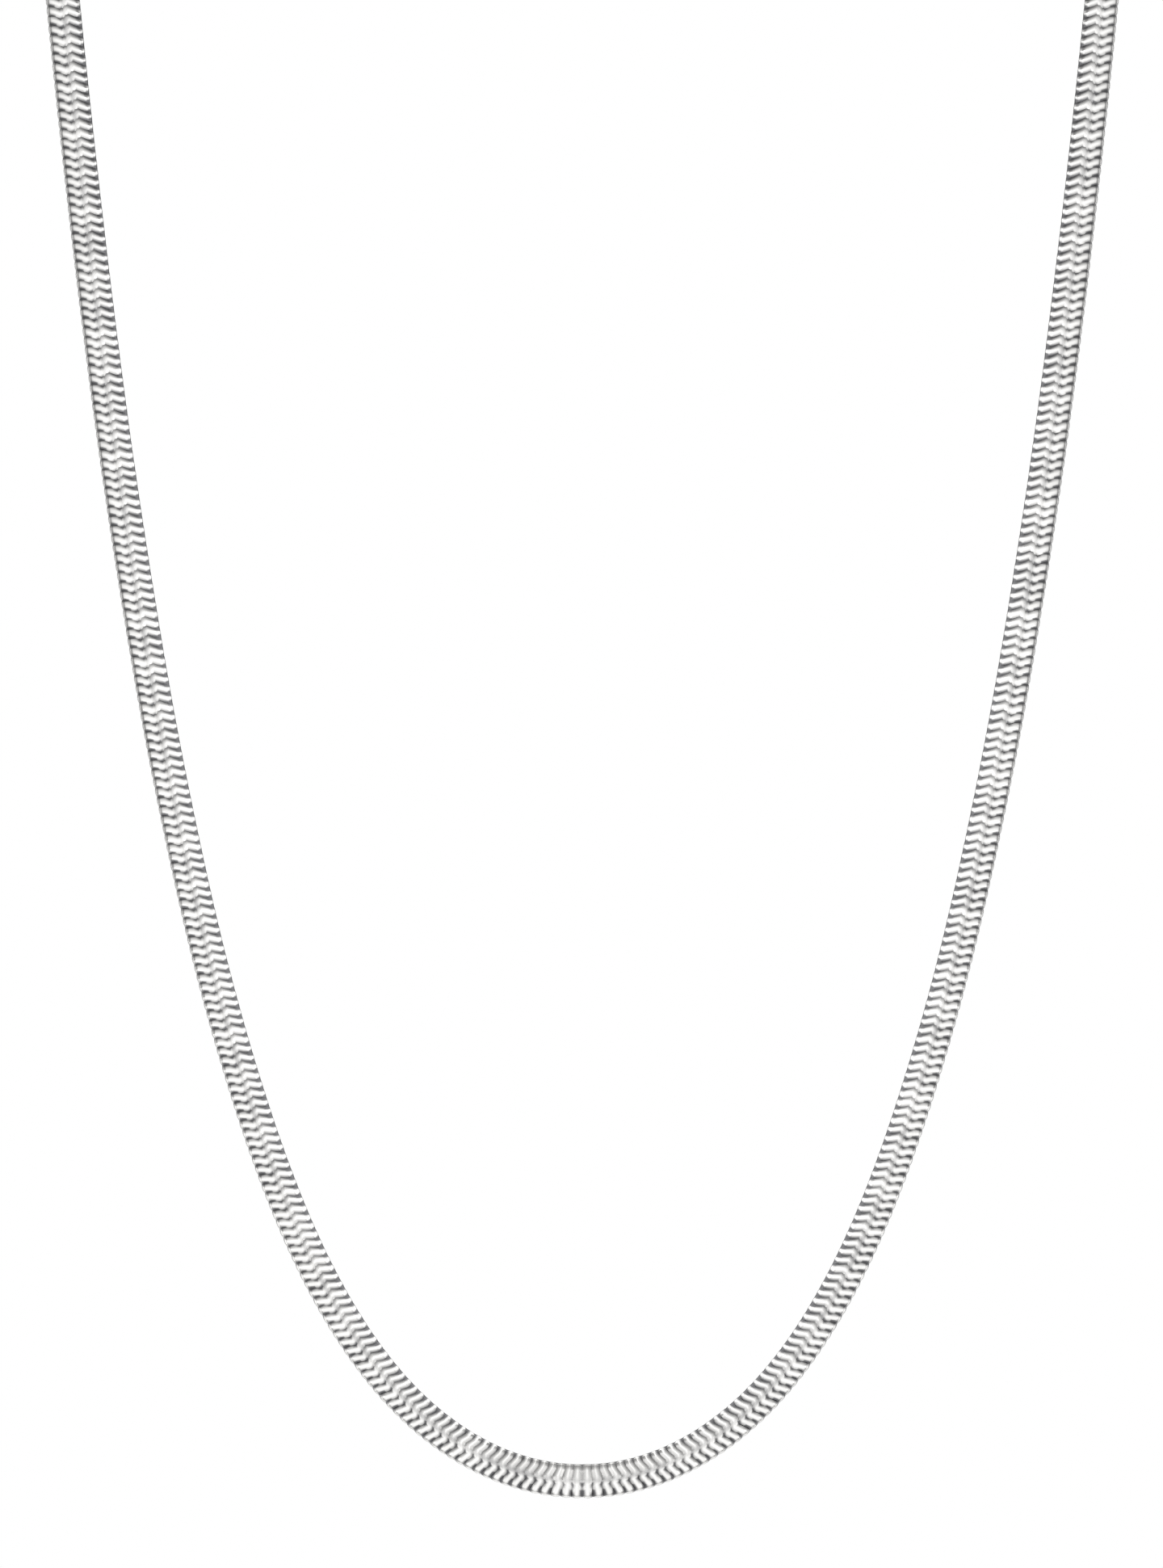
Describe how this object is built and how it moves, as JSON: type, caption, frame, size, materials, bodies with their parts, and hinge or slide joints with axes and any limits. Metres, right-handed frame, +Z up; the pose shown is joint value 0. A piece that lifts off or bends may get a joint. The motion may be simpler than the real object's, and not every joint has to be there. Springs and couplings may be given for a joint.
{
  "type": "flat snake chain necklace",
  "caption": "Flat, polished snake chain in a whole loop that hangs in a deep U at the front, passes over the shoulders and closes at the nape with a plain clasp.",
  "frame": {"origin": "middle of the closed loop at the nape, inside the clasp, where the necklace rests on a neck", "axes": "+Z up, as worn; -Y towards the front, where the chain's face looks at the viewer; +X to the viewer's right"},
  "size_m": [0.1274, 0.0576, 0.197],
  "materials": {
    "silver_chain": "polished",
    "silver_fittings": "polished"
  },
  "bodies": {
    "root": {"chain_left": "silver_chain", "chain_right": "silver_chain", "end_cap_left": "silver_fittings", "end_cap_right": "silver_fittings", "jump_ring_left": "silver_fittings", "jump_ring_right": "silver_fittings", "clasp": "silver_fittings"}
  },
  "joints": []
}
